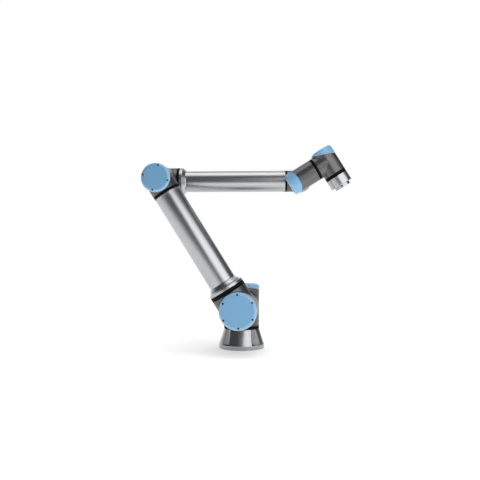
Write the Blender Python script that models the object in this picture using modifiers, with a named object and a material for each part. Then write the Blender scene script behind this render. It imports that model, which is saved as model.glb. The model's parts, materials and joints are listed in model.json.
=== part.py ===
"""Collaborative robot arm: six joint modules, two link tubes, a base flange and a tool flange.

Every joint module has its own frame: an empty where the joint's axis meets the axis of its neck.
The frame's Z axis is the joint's axis and points at the output flange. Its X axis runs out along
the neck, which carries the next link. The lid closes the end opposite the output.
World axes: +Z is up, the forearm points to +X, and the arm stands on the origin.
"""

import math
from collections import namedtuple

import bmesh
import bpy
from mathutils import Matrix, Vector

# Arm layout, in metres.
SHOULDER_HEIGHT = 0.1807
UPPER_ARM_LENGTH = 0.6127
FOREARM_LENGTH = 0.57155
UPPER_ARM_OFFSET = 0.1762
FOREARM_OFFSET = 0.0393
WRIST_1_TO_2 = 0.13485
WRIST_2_TO_3 = 0.11985
WRIST_3_TO_TOOL = 0.11655

# Posture: directions in the arm's vertical plane, measured from +X towards +Z.
UPPER_ARM_ANGLE = math.radians(121.89)
WRIST_2_ANGLE = math.radians(31.87)

# Lengths along each casting's neck. A neck begins where the seal ring before it ends.
BASE_NECK = 0.0777
WRIST_NECK = 0.0489
ELBOW_SEAL = 0.0780
COUNTERPART_FACE = UPPER_ARM_OFFSET - FOREARM_OFFSET - ELBOW_SEAL
COUNTERPART_NECK = 0.0578
SHOULDER_RING_END = 0.0933
ELBOW_RING_END = 0.0695
FOREARM_RING_END = 0.0685
WRIST_RING_END = 0.0635

# General fits. A cutter runs on past the surface it opens by OVERCUT.
GAP = 0.0003
RUNNING_GAP = 0.0015
OVERCUT = 0.01
EDGE = 0.001
CASTING_EDGE = 0.0015
CASTING_WALL = 0.0055
CASTING_LIP = 0.002
BORE_STEP = 0.001
BULKHEAD = 0.008
NECK_STEP = 0.0008
SEAL_STEP = 0.0002
THROAT_SHARE = 0.62

# Lids: the flat face and the sloping band round it, as shares of the radius, then the drops.
LID_WALL = 0.003
LID_FACE_SHARE = 0.83
LID_BAND_SHARE = 0.945
LID_BAND_DROP = 0.0026
LID_SHOULDER_DROP = 0.0062
LID_FACE_WALL = 0.0045
LID_CORNER_WALL = 0.0006
LID_SKIRT_SPARE = 0.004

# Facets round a full turn.
FINE = 32
RING = 24
COARSE = 16

Size = namedtuple("Size", "radius lid_face lid_near lid_far")
LARGE = Size(radius=0.0745, lid_face=0.0880, lid_near=0.0095, lid_far=0.0420)
MEDIUM = Size(radius=0.0572, lid_face=0.0714, lid_near=0.0095, lid_far=0.0400)
SMALL = Size(radius=0.0442, lid_face=0.0545, lid_near=0.0085, lid_far=0.0420)

# neck: length from the joint's axis. output: end of the housing. seal: far end of its seal ring.
Joint = namedtuple("Joint", "name size origin axis neck_way neck output seal")

# Drive parts, as shares of the joint's radius, then their lengths along the axis.
CUP_SHARE = 0.60
CUP_WALL = 0.002
CUP_LENGTH = 0.030
OUTPUT_BORE_SHARE = 0.24
WEB = 0.004
WEB_STEP = 0.005
GEAR_RING_LENGTH = 0.016
MOTOR_DROP = 0.042
MOTOR_LENGTH_SHARE = 0.36
MOTOR_CLEARANCE = 0.030
MOTOR_AIR_SHARE = 0.56
SHAFT_SHARE = 0.22
SHAFT_BORE_SHARE = 0.15
SHAFT_CLEARANCE = 0.010
BOARD_BORE_SHARE = 0.30
BOARD_SHARE = 0.86
BOARD_CLEARANCE = 0.016
BOARD_THICKNESS = 0.0035

# Base flange.
PLATE_RADIUS = 0.095
PLATE_HEIGHT = 0.0185
CONE_FOOT_RADIUS = 0.094
CONE_TOP_RADIUS = 0.0738
BASE_BORE = 0.045
BASE_TOP_WALL = 0.009
BASE_CAVITY_TOP = 0.062
BASE_CAVITY_FOOT = 0.068
BASE_FLOOR = 0.014
BOLT_CIRCLE = 0.170
BOLT_HOLE_RADIUS = 0.00425
POCKET_RADIUS = 0.030
POCKET_CENTRE = 0.1063
POCKET_FLOOR = 0.0180

# Cable inlet: distances are from the base's axis.
INLET_HEIGHT = 0.045
INLET_HOLE_RADIUS = 0.0105
INLET_HOLE_START = 0.040
INLET_SEAT_RADIUS = 0.0155
INLET_SEAT_FLOOR = 0.0825
GLAND_BORE = 0.0062
GLAND_NECK_RADIUS = 0.0096
GLAND_HEAD_RADIUS = 0.0138
GLAND_FACE_RADIUS = 0.0110
GLAND_INNER_END = 0.0660
GLAND_SHOULDER = 0.0915
GLAND_FACE = 0.0940

# Link tubes.
UPPER_TUBE_RADIUS = 0.055
UPPER_FOOT_RADIUS = 0.0745
FOREARM_TUBE_RADIUS = 0.044
FOREARM_FOOT_RADIUS = 0.0572
TUBE_WALL = 0.005
TUBE_RING_STEP = 0.0012

# The flare at each tube's foot, as (radius, distance from the foot).
UPPER_FLARE = [(0.0740, 0.0105), (0.0640, 0.0150), (0.0575, 0.0225), (0.0550, 0.0310)]
FOREARM_FLARE = [(0.0572, 0.0125), (0.0455, 0.0245), (0.0440, 0.0275)]

# The collar at each tube's far end: how far it stands out, its length, and that with its slope.
UPPER_COLLAR = (0.0012, 0.0052, 0.0058)
FOREARM_COLLAR = (0.0008, 0.0098, 0.0105)

# Tool flange, to the 50 mm bolt circle of ISO 9409-1.
TOOL_BODY_RADIUS = 0.0442
TOOL_FACE_RADIUS = 0.0315
TOOL_BOLT_CIRCLE = 0.050
TOOL_BOLT_RADIUS = 0.0025
TOOL_BOLT_DEPTH = 0.010
TOOL_SHOULDER = 0.1050
PILOT_RADIUS = 0.01575
PILOT_DEPTH = 0.0065

# Tool connector: its height on wrist 3's axis, and its sizes along its own.
CONNECTOR_HEIGHT = 0.0870
CONNECTOR_SEAT_RADIUS = 0.0065
CONNECTOR_SEAT_DEPTH = 0.012
CONNECTOR_RADIUS = 0.0060
CONNECTOR_BORE = 0.0035
CONNECTOR_BORE_DEPTH = 0.0070
CONNECTOR_PROUD = 0.0045

DARK_CASTING = ("cast_dark_grey", (0.055, 0.057, 0.060), 0.38, 0.75)
SILVER = ("machined_silver", (0.62, 0.63, 0.64), 0.30, 1.0)
BRUSHED = ("anodised_tube", (0.66, 0.67, 0.68), 0.32, 1.0)
BLUE = ("lid_blue", (0.20, 0.47, 0.72), 0.45, 0.0)
BLACK = ("seal_black", (0.012, 0.012, 0.013), 0.6, 0.0)
STEEL = ("ground_steel", (0.50, 0.51, 0.53), 0.30, 1.0)
COPPER = ("copper_winding", (0.55, 0.27, 0.12), 0.45, 1.0)
BOARD = ("board_green", (0.03, 0.18, 0.08), 0.5, 0.0)

IDENTITY = Matrix.Identity(4)
ALONG_NECK = Matrix.Rotation(math.pi / 2, 4, "Y")


def in_plane(angle):
    """A unit vector in the arm's vertical plane."""
    return Vector((math.cos(angle), 0, math.sin(angle)))


UPPER_ARM_WAY = in_plane(UPPER_ARM_ANGLE)
WRIST_2_WAY = in_plane(WRIST_2_ANGLE)
TOOL_WAY = in_plane(WRIST_2_ANGLE - math.pi / 2)
UP = Vector((0, 0, 1))
FORWARD = Vector((1, 0, 0))
BACK = Vector((0, 1, 0))

SHOULDER_AT = Vector((0, -UPPER_ARM_OFFSET, SHOULDER_HEIGHT))
ELBOW_AT = SHOULDER_AT + UPPER_ARM_LENGTH * UPPER_ARM_WAY
COUNTERPART_AT = Vector((ELBOW_AT.x, -FOREARM_OFFSET, ELBOW_AT.z))
WRIST_1_AT = COUNTERPART_AT + FOREARM_LENGTH * FORWARD
WRIST_2_AT = WRIST_1_AT - WRIST_1_TO_2 * BACK
WRIST_3_AT = WRIST_2_AT + WRIST_2_TO_3 * WRIST_2_WAY

BASE_JOINT = Joint(
    "base_joint", LARGE, (0, 0, SHOULDER_HEIGHT), -UP, -BACK,
    neck=BASE_NECK, output=0.0845, seal=0.0985,
)
SHOULDER_JOINT = Joint(
    "shoulder_joint", LARGE, SHOULDER_AT, BACK, UPPER_ARM_WAY,
    neck=0.0768, output=0.0845, seal=UPPER_ARM_OFFSET - BASE_NECK,
)
ELBOW_JOINT = Joint(
    "elbow_joint", MEDIUM, ELBOW_AT, BACK, -UPPER_ARM_WAY,
    neck=0.0578, output=0.0660, seal=ELBOW_SEAL,
)
WRIST_1_JOINT = Joint(
    "wrist_1_joint", SMALL, WRIST_1_AT, -BACK, -FORWARD,
    neck=0.0555, output=0.0743, seal=WRIST_1_TO_2 - WRIST_NECK,
)
WRIST_2_JOINT = Joint(
    "wrist_2_joint", SMALL, WRIST_2_AT, WRIST_2_WAY, BACK,
    neck=WRIST_NECK, output=0.0594, seal=WRIST_2_TO_3 - WRIST_NECK,
)
WRIST_3_JOINT = Joint(
    "wrist_3_joint", SMALL, WRIST_3_AT, TOOL_WAY, -WRIST_2_WAY,
    neck=WRIST_NECK, output=0.0545, seal=0.0675,
)


def clear_scene():
    for obj in list(bpy.data.objects):
        bpy.data.objects.remove(obj, do_unlink=True)


def new_collection(name):
    collection = bpy.data.collections.new(name)
    bpy.context.scene.collection.children.link(collection)
    return collection


def material(look, name):
    """A material of this look for one object, named after it."""
    kind, colour, roughness, metallic = look
    made = bpy.data.materials.new(f"{name}_{kind}")
    made.use_nodes = True
    shader = made.node_tree.nodes["Principled BSDF"]
    shader.inputs["Base Color"].default_value = (*colour, 1)
    shader.inputs["Roughness"].default_value = roughness
    shader.inputs["Metallic"].default_value = metallic
    return made


def frame_at(name, origin, axis, sideways):
    """An empty at origin whose Z axis is axis and whose X axis is sideways."""
    z = Vector(axis).normalized()
    x = Vector(sideways).normalized()
    y = z.cross(x)
    turned_to = Matrix((x, y, z)).transposed().to_4x4()
    empty = bpy.data.objects.new(name, None)
    empty.empty_display_size = 0.05
    empty.matrix_world = Matrix.Translation(origin) @ turned_to
    PARTS.objects.link(empty)
    return empty


def place(obj, frame, local, collection):
    collection.objects.link(obj)
    obj.parent = frame
    obj.matrix_local = local
    return obj


def outer_side_down(profile):
    """The profile in the order that makes the turned surface face out."""
    area = 0
    for (r1, z1), (r2, z2) in zip(profile, profile[1:] + profile[:1]):
        area += r1 * z2 - r2 * z1
    return profile[::-1] if area > 0 else profile


def profile_mesh(name, profile):
    """The outline as edges. A profile that touches the axis stays open along the axis."""
    points = outer_side_down(profile)
    on_axis = [i for i, (r, _) in enumerate(points) if r == 0]
    if on_axis:
        start = next(i for i in on_axis if points[i - 1][0] == 0)
        points = points[start:] + points[:start]
    count = len(points)
    edges = [(i, i + 1) for i in range(count - 1)]
    if not on_axis:
        edges.append((count - 1, 0))
    mesh = bpy.data.meshes.new(name)
    mesh.from_pydata([(r, 0, z) for r, z in points], edges, [])
    return mesh


def turned(name, profile, frame, local=IDENTITY, look=None, facets=FINE):
    """A closed outline of (radius, height) points turned about Z. Without a look it is a cutter."""
    obj = bpy.data.objects.new(name, profile_mesh(name, profile))
    place(obj, frame, local, PARTS if look else CUTTERS)
    screw = obj.modifiers.new("Turn", "SCREW")
    screw.axis = "Z"
    screw.angle = 2 * math.pi
    screw.steps = facets
    screw.render_steps = facets
    screw.use_merge_vertices = True
    screw.merge_threshold = 0.00001
    screw.use_smooth_shade = True
    finish(obj, name, look)
    return obj


def finish(obj, name, look):
    if look:
        obj.data.materials.append(material(look, name))
    else:
        obj.hide_render = True
        obj.display_type = "WIRE"


def cutting_cube(name, size, frame, local):
    """A cutter cube whose top face is at its own Z = 0."""
    mesh = bpy.data.meshes.new(name)
    cube = bmesh.new()
    bmesh.ops.create_cube(cube, size=size, matrix=Matrix.Translation((0, 0, -size / 2)))
    cube.to_mesh(mesh)
    cube.free()
    obj = bpy.data.objects.new(name, mesh)
    place(obj, frame, local, CUTTERS)
    finish(obj, name, None)
    return obj


def boolean(target, tool, operation):
    modifier = target.modifiers.new(operation.capitalize(), "BOOLEAN")
    modifier.operation = operation
    modifier.object = tool


def cut(target, tool):
    boolean(target, tool, "DIFFERENCE")


def join(target, tool):
    boolean(target, tool, "UNION")


def ring(inner, outer, low, high):
    """The outline of a plain ring or, with inner 0, of a disc."""
    return [(inner, high), (outer, high), (outer, low), (inner, low)]


def lid_plane(size, shift):
    """The oblique parting plane between lid and housing: shallow at the neck, deep opposite it."""
    slope = math.atan((size.lid_far - size.lid_near) / (2 * size.radius))
    middle = -size.lid_face + (size.lid_far + size.lid_near) / 2 + shift
    return Matrix.Translation((0, 0, middle)) @ Matrix.Rotation(slope, 4, "Y")


def neck_outline(size, length):
    radius = size.radius - NECK_STEP
    return [
        (0, 0),
        (0, length),
        (radius - CASTING_EDGE, length),
        (radius, length - CASTING_EDGE),
        (radius, 0),
    ]


def neck_bore_outline(size, length):
    """The neck's hollow, with a narrower throat through the bulkhead that the next link bolts to."""
    radius = size.radius - NECK_STEP - CASTING_WALL - BORE_STEP
    throat = THROAT_SHARE * size.radius
    shelf = length - BULKHEAD
    return [
        (0, 0),
        (0, length + OVERCUT),
        (throat, length + OVERCUT),
        (throat, shelf),
        (radius, shelf),
        (radius, 0),
    ]


def housing(name, size, neck, low, high, frame):
    """A cast T: a main barrel along Z joined to a neck along X, both hollow."""
    radius = size.radius
    barrel = [
        (0, low),
        (0, high),
        (radius - CASTING_EDGE, high),
        (radius, high - CASTING_EDGE),
        (radius, low),
    ]
    body = turned(name, barrel, frame, look=DARK_CASTING)
    tube = turned(f"{name}_neck_form", neck_outline(size, neck), frame, ALONG_NECK)
    hollow = turned(f"{name}_neck_core", neck_bore_outline(size, neck), frame, ALONG_NECK)
    return body, tube, hollow


def joint_housing(joint, frame):
    name = f"{joint.name}_housing"
    size = joint.size
    low = -size.lid_face + CASTING_LIP
    body, tube, hollow = housing(name, size, joint.neck, low, joint.output, frame)
    bore = size.radius - CASTING_WALL
    core = turned(f"{name}_core", ring(0, bore, low - OVERCUT, joint.output + OVERCUT), frame)
    above = cutting_cube(f"{name}_lid_cut", 6 * size.radius, frame, lid_plane(size, GAP / 2))
    join(body, tube)
    cut(body, above)
    cut(body, core)
    cut(body, hollow)
    return body


def lid_outline(size):
    """A cap: flat face, sloping rim, rounded shoulder, straight skirt."""
    radius = size.radius
    face = -size.lid_face
    skirt = face + size.lid_far + LID_SKIRT_SPARE
    return [
        (0, face),
        (LID_FACE_SHARE * radius, face),
        (LID_BAND_SHARE * radius, face + LID_BAND_DROP),
        (radius, face + LID_SHOULDER_DROP),
        (radius, skirt),
        (radius - LID_WALL, skirt),
        (radius - LID_WALL, face + LID_SHOULDER_DROP + LID_CORNER_WALL),
        (0, face + LID_FACE_WALL),
    ]


def lid(name, size, frame):
    body = turned(name, lid_outline(size), frame, look=BLUE)
    turn_over = Matrix.Rotation(math.pi, 4, "X")
    below = cutting_cube(f"{name}_cut", 6 * size.radius, frame, lid_plane(size, -GAP) @ turn_over)
    cut(body, below)
    return body


def seal(joint, frame):
    radius = joint.size.radius
    outline = ring(radius - CASTING_WALL, radius - SEAL_STEP, joint.output + GAP, joint.seal - GAP)
    return turned(f"{joint.name}_seal", outline, frame, look=BLACK, facets=RING)


def cup_radius(size):
    """Outer radius of the gear's flexible cup."""
    return CUP_SHARE * size.radius


def output_flange(joint, frame):
    """The gear's flexible cup and the flange it drives, which bolts to the next link."""
    size = joint.size
    cup = cup_radius(size)
    rim = size.radius - CASTING_WALL - RUNNING_GAP
    hole = OUTPUT_BORE_SHARE * size.radius
    web = joint.output - WEB
    outline = [
        (hole, joint.seal - GAP),
        (rim, joint.seal - GAP),
        (rim, web - WEB_STEP),
        (cup, web - WEB_STEP),
        (cup, web - CUP_LENGTH),
        (cup - CUP_WALL, web - CUP_LENGTH),
        (cup - CUP_WALL, web),
        (hole, web),
    ]
    return turned(f"{joint.name}_output_flange", outline, frame, look=STEEL, facets=COARSE)


def gear_ring(joint, frame):
    """The fixed, internally toothed ring round the flexible cup."""
    bore = joint.size.radius - CASTING_WALL - BORE_STEP
    high = joint.output - GEAR_RING_LENGTH
    low = high - GEAR_RING_LENGTH
    outline = ring(cup_radius(joint.size) + RUNNING_GAP, bore, low, high)
    return turned(f"{joint.name}_gear_ring", outline, frame, look=STEEL, facets=COARSE)


def motor_span(joint):
    """Lowest and highest Z of the motor, below the middle of the housing."""
    high = joint.output - MOTOR_DROP
    length = MOTOR_LENGTH_SHARE * joint.size.radius
    return max(high - length, -joint.size.lid_face + MOTOR_CLEARANCE), high


def stator(joint, frame):
    low, high = motor_span(joint)
    bore = joint.size.radius - CASTING_WALL - BORE_STEP
    outline = ring(MOTOR_AIR_SHARE * joint.size.radius, bore, low, high)
    return turned(f"{joint.name}_stator", outline, frame, look=COPPER, facets=COARSE)


def rotor(joint, frame):
    """One hollow shaft with the motor's magnet drum and the gear's wave generator on it."""
    radius = joint.size.radius
    bore = SHAFT_BORE_SHARE * radius
    shaft = SHAFT_SHARE * radius
    flat = math.cos(math.pi / COARSE)
    drum = MOTOR_AIR_SHARE * radius * flat - RUNNING_GAP
    wave = (cup_radius(joint.size) - CUP_WALL) * flat - RUNNING_GAP
    low, high = motor_span(joint)
    end = joint.output - WEB - RUNNING_GAP
    shoulder = end - GEAR_RING_LENGTH
    foot = -joint.size.lid_face + SHAFT_CLEARANCE
    outline = [
        (bore, end),
        (wave, end),
        (wave, shoulder),
        (shaft, shoulder),
        (shaft, high),
        (drum, high),
        (drum, low),
        (shaft, low),
        (shaft, foot),
        (bore, foot),
    ]
    return turned(f"{joint.name}_rotor", outline, frame, look=STEEL, facets=COARSE)


def control_board(joint, frame):
    radius = joint.size.radius
    low = -joint.size.lid_face + BOARD_CLEARANCE
    high = low + BOARD_THICKNESS
    outline = ring(BOARD_BORE_SHARE * radius, BOARD_SHARE * radius, low, high)
    return turned(f"{joint.name}_control_board", outline, frame, look=BOARD, facets=COARSE)


def joint_module(joint):
    frame = frame_at(joint.name, joint.origin, joint.axis, joint.neck_way)
    joint_housing(joint, frame)
    lid(f"{joint.name}_lid", joint.size, frame)
    seal(joint, frame)
    output_flange(joint, frame)
    gear_ring(joint, frame)
    stator(joint, frame)
    rotor(joint, frame)
    control_board(joint, frame)
    return frame


def base_outline():
    top = SHOULDER_HEIGHT - BASE_JOINT.seal
    return [
        (0, 0),
        (PLATE_RADIUS - EDGE, 0),
        (PLATE_RADIUS, EDGE),
        (PLATE_RADIUS, PLATE_HEIGHT - EDGE),
        (CONE_FOOT_RADIUS, PLATE_HEIGHT + EDGE),
        (CONE_TOP_RADIUS, top),
        (BASE_BORE, top),
        (BASE_BORE, top - BASE_TOP_WALL),
        (BASE_CAVITY_TOP, top - BASE_TOP_WALL),
        (BASE_CAVITY_FOOT, BASE_FLOOR),
        (0, BASE_FLOOR),
    ]


def half_facet(facets):
    """Turns a cutter so that no corner of it falls on an edge of the piece that it cuts."""
    return Matrix.Rotation(math.pi / facets, 4, "Z")


def base_flange():
    """A turned flange with four open pockets for its fixing bolts and a hole for the cable inlet."""
    frame = frame_at("base", (0, 0, 0), (0, 0, 1), (1, 0, 0))
    body = turned("base_flange", base_outline(), frame, look=SILVER)
    for i in range(4):
        way = Matrix.Rotation(math.radians(45 + 90 * i), 4, "Z")
        cut_pocket(body, i + 1, way, frame)
    inlet = cable_inlet_place()
    hole = ring(0, INLET_HOLE_RADIUS, INLET_HOLE_START, PLATE_RADIUS + OVERCUT)
    seat = ring(0, INLET_SEAT_RADIUS, INLET_SEAT_FLOOR, PLATE_RADIUS + OVERCUT)
    cut(body, turned("inlet_hole", hole, frame, inlet, facets=COARSE))
    cut(body, turned("inlet_seat", seat, frame, inlet, facets=COARSE))
    cable_inlet(frame, inlet)


def cut_pocket(body, number, way, frame):
    """One bolt's pocket in the cone, open to the outside, and its hole through the plate."""
    pocket = way @ Matrix.Translation((POCKET_CENTRE, 0, 0)) @ half_facet(FINE)
    walls = ring(0, POCKET_RADIUS, POCKET_FLOOR, SHOULDER_HEIGHT)
    cut(body, turned(f"pocket_{number}", walls, frame, pocket))
    hole = way @ Matrix.Translation((BOLT_CIRCLE / 2, 0, 0)) @ half_facet(COARSE)
    bolt = ring(0, BOLT_HOLE_RADIUS, -OVERCUT, POCKET_FLOOR + OVERCUT)
    cut(body, turned(f"bolt_hole_{number}", bolt, frame, hole, facets=COARSE))


def cable_inlet_place():
    """Z along +Y, at the height of the inlet."""
    along_y = Matrix.Rotation(-math.pi / 2, 4, "X")
    return Matrix.Translation((0, 0, INLET_HEIGHT)) @ along_y @ half_facet(COARSE)


def cable_inlet(frame, place_at):
    """The gland that the supply cable enters by."""
    seat = INLET_SEAT_FLOOR + GAP
    outline = [
        (GLAND_BORE, GLAND_FACE),
        (GLAND_FACE_RADIUS, GLAND_FACE),
        (GLAND_HEAD_RADIUS, GLAND_SHOULDER),
        (GLAND_HEAD_RADIUS, seat),
        (GLAND_NECK_RADIUS, seat),
        (GLAND_NECK_RADIUS, GLAND_INNER_END),
        (GLAND_BORE, GLAND_INNER_END),
    ]
    turned("base_cable_inlet", outline, frame, place_at, look=BLACK, facets=COARSE)


def neck_ring(name, frame, radius, low, high):
    """The black ring between a neck and the tube that is bolted to it."""
    outline = ring(radius - CASTING_WALL, radius, low + GAP, high - GAP)
    return turned(name, outline, frame, ALONG_NECK, look=BLACK, facets=RING)


def tube_outline(foot, end, foot_radius, flare, radius, collar):
    """A tube with a chamfered, flared foot and a collar that stands out a little at its far end."""
    bore = radius - TUBE_WALL
    proud, collar_length, collar_start = collar
    return [
        (bore, foot),
        (foot_radius - EDGE, foot),
        (foot_radius, foot + EDGE),
        *[(r, foot + distance) for r, distance in flare],
        (radius, end - collar_start),
        (radius + proud, end - collar_length),
        (radius + proud, end),
        (bore, end),
    ]


def upper_arm(shoulder):
    """The straight tube from the shoulder's neck to the elbow's, with a flared foot."""
    foot = SHOULDER_RING_END
    end = UPPER_ARM_LENGTH - ELBOW_RING_END
    radius = UPPER_TUBE_RADIUS
    outline = tube_outline(foot, end, UPPER_FOOT_RADIUS, UPPER_FLARE, radius, UPPER_COLLAR)
    turned("upper_arm_tube", outline, shoulder, ALONG_NECK, look=BRUSHED)
    neck_ring("shoulder_tube_ring", shoulder, LARGE.radius, SHOULDER_JOINT.neck, foot)


def forearm(counterpart):
    """The forearm tube: flared at the elbow, with a thin bright collar at the wrist."""
    foot = FOREARM_RING_END
    end = FOREARM_LENGTH - WRIST_RING_END
    radius = FOREARM_TUBE_RADIUS
    outline = tube_outline(foot, end, FOREARM_FOOT_RADIUS, FOREARM_FLARE, radius, FOREARM_COLLAR)
    turned("forearm_tube", outline, counterpart, ALONG_NECK, look=BRUSHED)
    neck_ring("forearm_elbow_ring", counterpart, FOREARM_FOOT_RADIUS, COUNTERPART_NECK, foot)


def elbow_counterpart(frame):
    """The casting that takes the elbow's output and turns it into the forearm, with its own lid."""
    name = "elbow_counterpart"
    size = MEDIUM
    low = -size.lid_face + CASTING_LIP
    body, tube, hollow = housing(name, size, COUNTERPART_NECK, low, COUNTERPART_FACE, frame)
    bore = size.radius - CASTING_WALL
    floor = COUNTERPART_FACE - BULKHEAD
    core = turned(f"{name}_core", ring(0, bore, low - OVERCUT, floor), frame)
    opening = ring(0, bore / 2, low, COUNTERPART_FACE + OVERCUT)
    throat = turned(f"{name}_throat", opening, frame)
    above = cutting_cube(f"{name}_lid_cut", 6 * size.radius, frame, lid_plane(size, GAP / 2))
    join(body, tube)
    for tool in (above, core, throat, hollow):
        cut(body, tool)
    lid("elbow_counterpart_lid", size, frame)


def tool_outline():
    """The flange's profile along wrist 3's axis."""
    face = WRIST_3_TO_TOOL
    low = WRIST_3_JOINT.seal
    radius = TOOL_BODY_RADIUS
    return [
        (0, low),
        (radius - EDGE, low),
        (radius, low + EDGE),
        (radius, TOOL_SHOULDER - CASTING_EDGE),
        (radius - CASTING_EDGE, TOOL_SHOULDER),
        (TOOL_FACE_RADIUS, TOOL_SHOULDER),
        (TOOL_FACE_RADIUS, face - EDGE),
        (TOOL_FACE_RADIUS - EDGE, face),
        (PILOT_RADIUS, face),
        (PILOT_RADIUS, face - PILOT_DEPTH),
        (0, face - PILOT_DEPTH),
    ]


def tool_flange(frame):
    body = turned("tool_flange", tool_outline(), frame, look=SILVER)
    face = WRIST_3_TO_TOOL
    for i in range(4):
        way = Matrix.Rotation(math.radians(45 + 90 * i), 4, "Z")
        spot = way @ Matrix.Translation((TOOL_BOLT_CIRCLE / 2, 0, 0))
        bolt = ring(0, TOOL_BOLT_RADIUS, face - TOOL_BOLT_DEPTH, face + OVERCUT)
        cut(body, turned(f"tool_hole_{i + 1}", bolt, frame, spot, facets=COARSE))
    to_back = Matrix.Rotation(-math.pi / 2, 4, "X")
    outward = Matrix.Translation((0, 0, CONNECTOR_HEIGHT)) @ to_back @ half_facet(COARSE)
    floor = TOOL_BODY_RADIUS - CONNECTOR_SEAT_DEPTH
    socket = ring(0, CONNECTOR_SEAT_RADIUS, floor, TOOL_BODY_RADIUS + OVERCUT)
    cut(body, turned("connector_seat", socket, frame, outward, facets=COARSE))
    tool_connector(frame, outward)


def tool_connector(frame, outward):
    """The round socket at the side of the flange that a gripper plugs into."""
    face = TOOL_BODY_RADIUS + CONNECTOR_PROUD
    foot = TOOL_BODY_RADIUS - CONNECTOR_SEAT_DEPTH + GAP
    outline = [
        (CONNECTOR_BORE, face),
        (CONNECTOR_RADIUS - EDGE / 2, face),
        (CONNECTOR_RADIUS, face - EDGE / 2),
        (CONNECTOR_RADIUS, foot),
        (0, foot),
        (0, face - CONNECTOR_BORE_DEPTH),
        (CONNECTOR_BORE, face - CONNECTOR_BORE_DEPTH),
    ]
    turned("tool_connector", outline, frame, outward, look=BLACK, facets=COARSE)


clear_scene()
PARTS = new_collection("collaborative_robot_arm")
CUTTERS = new_collection("cutters")
CUTTERS.hide_render = True

base_flange()
joint_module(BASE_JOINT)
shoulder_frame = joint_module(SHOULDER_JOINT)
upper_arm(shoulder_frame)
elbow_frame = joint_module(ELBOW_JOINT)
elbow_ring_radius = MEDIUM.radius - TUBE_RING_STEP
neck_ring("elbow_tube_ring", elbow_frame, elbow_ring_radius, ELBOW_JOINT.neck, ELBOW_RING_END)
counterpart_frame = frame_at("elbow_output", COUNTERPART_AT, -BACK, FORWARD)
elbow_counterpart(counterpart_frame)
forearm(counterpart_frame)
wrist_1_frame = joint_module(WRIST_1_JOINT)
neck_ring("forearm_wrist_ring", wrist_1_frame, SMALL.radius, WRIST_1_JOINT.neck, WRIST_RING_END)
joint_module(WRIST_2_JOINT)
tool_flange(joint_module(WRIST_3_JOINT))
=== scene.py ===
import json
import math

import bmesh
import bpy
import numpy as np
from mathutils import Matrix, Vector

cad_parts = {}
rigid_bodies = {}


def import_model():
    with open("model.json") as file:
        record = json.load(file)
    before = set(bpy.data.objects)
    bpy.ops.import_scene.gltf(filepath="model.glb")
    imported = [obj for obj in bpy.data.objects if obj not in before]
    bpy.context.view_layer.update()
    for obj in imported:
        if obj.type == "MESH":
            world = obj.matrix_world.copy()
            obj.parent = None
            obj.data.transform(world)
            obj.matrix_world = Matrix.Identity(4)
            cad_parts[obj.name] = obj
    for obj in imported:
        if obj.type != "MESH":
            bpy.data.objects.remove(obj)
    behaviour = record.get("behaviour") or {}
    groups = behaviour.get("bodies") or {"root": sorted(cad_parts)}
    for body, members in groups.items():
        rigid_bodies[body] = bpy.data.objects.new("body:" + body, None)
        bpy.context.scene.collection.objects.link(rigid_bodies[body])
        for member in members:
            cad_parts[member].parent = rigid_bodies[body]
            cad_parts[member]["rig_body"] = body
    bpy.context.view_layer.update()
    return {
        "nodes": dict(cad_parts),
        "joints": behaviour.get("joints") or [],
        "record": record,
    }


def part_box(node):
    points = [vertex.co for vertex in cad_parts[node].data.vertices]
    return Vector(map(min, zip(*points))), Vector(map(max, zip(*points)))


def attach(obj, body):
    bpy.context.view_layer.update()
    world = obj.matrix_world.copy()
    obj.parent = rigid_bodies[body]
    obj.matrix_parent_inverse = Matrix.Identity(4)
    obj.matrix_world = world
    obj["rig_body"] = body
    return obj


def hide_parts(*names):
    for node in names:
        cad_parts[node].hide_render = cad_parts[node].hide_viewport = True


# The looks of the collaborative robot arm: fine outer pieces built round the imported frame.
# Every length is in metres. A piece is built in its joint module's own frame, where Z is the
# joint's axis, pointing at the output flange, and X runs out along the neck to the next link.

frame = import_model()

# Facets round a full turn. FACETS divides by four, so that crossing barrels share their points.
FACETS = 128
SMALL_FACETS = 48

# Rows of points along each barrel of a casting, how close two points are to count as one, and
# the angle below which neighbouring faces are shaded as one surface.
ROWS = 14
MERGE = 0.000001
SMOOTH_BELOW = math.radians(34)

# Cutting: how far a cutter starts outside the piece, and, for clearing up after the cut, how close
# two points are to count as one, and how sharp an edge is to be rounded.
CUT_PAST = 0.010
CUT_MERGE = 0.00003
SHARP_EDGE = math.radians(40)

# Castings: their walls, the seam to the lid, the rounding of their ends and the crease's blend.
CASTING_WALL = 0.0055
LID_WALL = 0.0030
SEAM = 0.00045
EDGE_ROUND = 0.0009
RIM_ROUND = 0.0005
CREASE_BLEND = 0.10
BLEND_STEPS = 6

# A neck that ends just past the barrel has less room: these shares of the part that sticks out
# limit its rounded edge and its blend.
NECK_EDGE_SHARE = 0.4
NECK_BLEND_SHARE = 2

# Limits that keep the blend's divisions sound.
FLATTEST_SLOPE = 0.05
TINY = 1e-6

# A lid's outline: shares of its radius, drops from its face, and the fillets on the way.
FACE_SHARE = 0.83
BAND_SHARE = 0.945
# From the next share of the radius outwards, the sloping band is painted lighter: a painted highlight
# where it catches the light.
PAINTED_HIGHLIGHT_SHARE = 0.915
BAND_DROP = 0.0026
SHOULDER_DROP = 0.0062
FACE_FILLET = 0.0016
BAND_FILLET = 0.0040
SHOULDER_FILLET = 0.0050
INNER_FILLET = 0.0020

# A lid's screws: the large lids have six, the others four.
LARGE_LID_OVER = 0.065
LARGE_HEAD = 0.0037
SMALL_HEAD = 0.0031
HEAD_ROOM = 0.0006
SCREW_CIRCLE_SHARE = 0.870
SCREW_SINK = 0.0013
RECESS_DEPTH = 0.0034
SOCKET_DEPTH = 0.0015
SOCKET_SHARE = 1.1

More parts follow.
